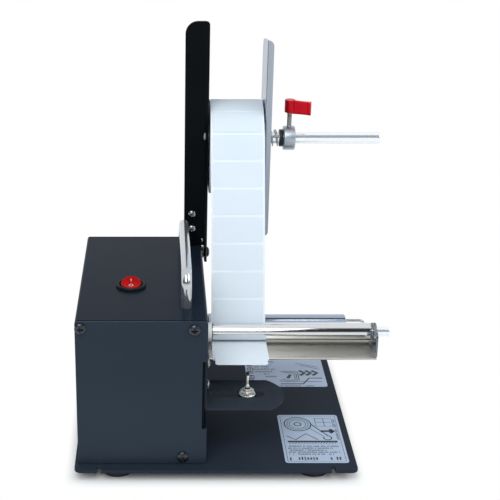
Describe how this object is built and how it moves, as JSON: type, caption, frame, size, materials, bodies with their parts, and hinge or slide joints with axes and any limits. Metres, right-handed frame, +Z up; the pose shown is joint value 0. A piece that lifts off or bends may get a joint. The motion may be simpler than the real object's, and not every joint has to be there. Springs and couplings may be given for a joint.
{
  "type": "label dispenser machine",
  "caption": "Desk label dispenser: case with carry handle and rocker switch, tall roll support, sliding roll guide, tension roller, stripper plate, take-up spindle and sensor arm.",
  "frame": {"origin": "middle of the machine's footprint, on the surface that the feet stand on", "axes": "+X from the case towards the free end of the spindle, +Y from the front to the back, +Z up"},
  "size_m": [0.247, 0.2222, 0.317],
  "materials": {
    "base_coat": "fine satin powder coat, near-black blue grey",
    "case_coat": "fine satin powder coat, dark blue grey",
    "plate_coat": "satin black powder coat",
    "arm_coat": "satin black coat",
    "rubber": "matte black rubber",
    "zinc_steel": "zinc plated",
    "black_screw": "black oxide, slightly glossy",
    "bright_screw": "nickel plated",
    "black_plastic": "moulded black plastic",
    "red_plastic": "translucent red, glossy",
    "stainless": "turned stainless steel",
    "polished_steel": "polished stainless sheet",
    "guide_steel": "satin stainless sheet",
    "chrome": "hard chrome, mirror",
    "spring_steel": "bright drawn wire",
    "nickel": "nickel plated",
    "red_anodised": "red anodised, satin",
    "grey_aluminium": "turned aluminium, matt",
    "label_paper": "white label stock on a pale blue liner",
    "liner_paper": "glassine liner",
    "core_board": "wound brown board",
    "gear_nylon": "natural nylon",
    "bronze": "sintered bronze",
    "board_green": "green solder mask",
    "sticker_foil": "silver-blue printed foil"
  },
  "bodies": {
    "frame": {"base_plate": "base_coat", "foot_front_left": "rubber", "foot_front_right": "rubber", "foot_rear_left": "rubber", "foot_rear_right": "rubber", "case_cover": "case_coat", "front_panel": "case_coat", "rear_panel": "case_coat", "side_plate": "plate_coat", "panel_screw_left": "black_screw", "panel_screw_right": "black_screw", "panel_screw_low": "black_screw", "switch_bezel": "black_plastic", "carry_handle": "stainless", "handle_nut_front": "zinc_steel", "handle_nut_rear": "zinc_steel", "dc_socket": "black_plastic", "roll_support_plate": "plate_coat", "support_post": "plate_coat", "support_screw_low": "bright_screw", "support_screw_high": "bright_screw", "support_side_screw": "black_screw", "support_spacer": "zinc_steel", "roll_spindle": "stainless", "spindle_nut": "zinc_steel", "stripper_plate": "polished_steel", "roller_axle": "stainless", "roller_bush": "gear_nylon", "axle_clip": "zinc_steel", "label_web": "label_paper", "liner_return": "liner_paper", "peeled_label": "label_paper", "takeup_bush": "bronze", "gear_motor": "zinc_steel", "motor_bracket": "zinc_steel", "control_board": "board_green", "arm_screw_low": "bright_screw", "arm_screw_high": "bright_screw", "sticker_front": "sticker_foil", "sticker_rear": "sticker_foil"},
    "switch_rocker": {"switch_rocker": "red_plastic"},
    "label_roll": {"label_roll": "label_paper", "roll_core": "core_board"},
    "tension_roller": {"tension_roller": "chrome"},
    "guide_carriage": {"lock_collar": "stainless", "spring_seat": "black_plastic", "guide_spring": "spring_steel"},
    "guide_plate": {"guide_plate": "guide_steel"},
    "clamp_lever": {"clamp_lever": "red_anodised", "lever_stud": "stainless"},
    "takeup": {"takeup_spindle": "grey_aluminium", "takeup_clip": "spring_steel", "takeup_gear": "gear_nylon"},
    "motor_drive": {"motor_pinion": "spring_steel"},
    "sensor_arm": {"sensor_arm": "arm_coat"},
    "sensor": {"sensor_body": "black_plastic", "sensor_nut": "nickel"},
    "sensor_pin": {"sensor_pin": "spring_steel", "sensor_tip": "black_plastic"}
  },
  "joints": [
    {"name": "rocker_tilt", "type": "hinge", "parent": "frame", "child": "switch_rocker", "pos_m": [-0.08125, -0.0365, 0.1296], "axis": [-1, 0, 0], "range_deg": [0, 24]},
    {"name": "roll_spin", "type": "hinge", "parent": "frame", "child": "label_roll", "pos_m": [0.00335, 0.07215, 0.2086], "axis": [1, 0, 0], "continuous": true},
    {"name": "roller_spin", "type": "hinge", "parent": "frame", "child": "tension_roller", "pos_m": [0.0446, -0.02885, 0.0866], "axis": [1, 0, 0], "continuous": true},
    {"name": "guide_slide", "type": "slide", "parent": "frame", "child": "guide_carriage", "axis": [1, 0, 0], "range_m": [0, 0.07]},
    {"name": "guide_float", "type": "slide", "parent": "guide_carriage", "child": "guide_plate", "axis": [1, 0, 0], "range_m": [0, 0.006], "stiffness_N_per_m": 400, "deforming": ["guide_spring"]},
    {"name": "lever_turn", "type": "hinge", "parent": "guide_carriage", "child": "clamp_lever", "pos_m": [0.04775, 0.07215, 0.236], "axis": [0, 0, 1], "range_deg": [-90, 90]},
    {"name": "takeup_spin", "type": "hinge", "parent": "frame", "child": "takeup", "pos_m": [0.0373, 0.02685, 0.0605], "axis": [1, 0, 0], "continuous": true},
    {"name": "pinion_spin", "type": "hinge", "parent": "frame", "child": "motor_drive", "pos_m": [-0.0394, -0.00355, 0.0605], "axis": [1, 0, 0], "continuous": true},
    {"name": "arm_slide", "type": "slide", "parent": "frame", "child": "sensor_arm", "axis": [0, 1, 0], "range_m": [-0.025, 0.008]},
    {"name": "sensor_slide", "type": "slide", "parent": "sensor_arm", "child": "sensor", "axis": [1, 0, 0], "range_m": [-0.017, 0.008]},
    {"name": "pin_tilt", "type": "hinge", "parent": "sensor", "child": "sensor_pin", "pos_m": [0.00785, -0.0726, 0.0614], "axis": [1, 0, 0], "range_deg": [-20, 20], "stiffness_Nm_per_rad": 0.01}
  ],
  "couplings": [
    {"joint": "pinion_spin", "follows": "takeup_spin", "ratio": -2}
  ]
}
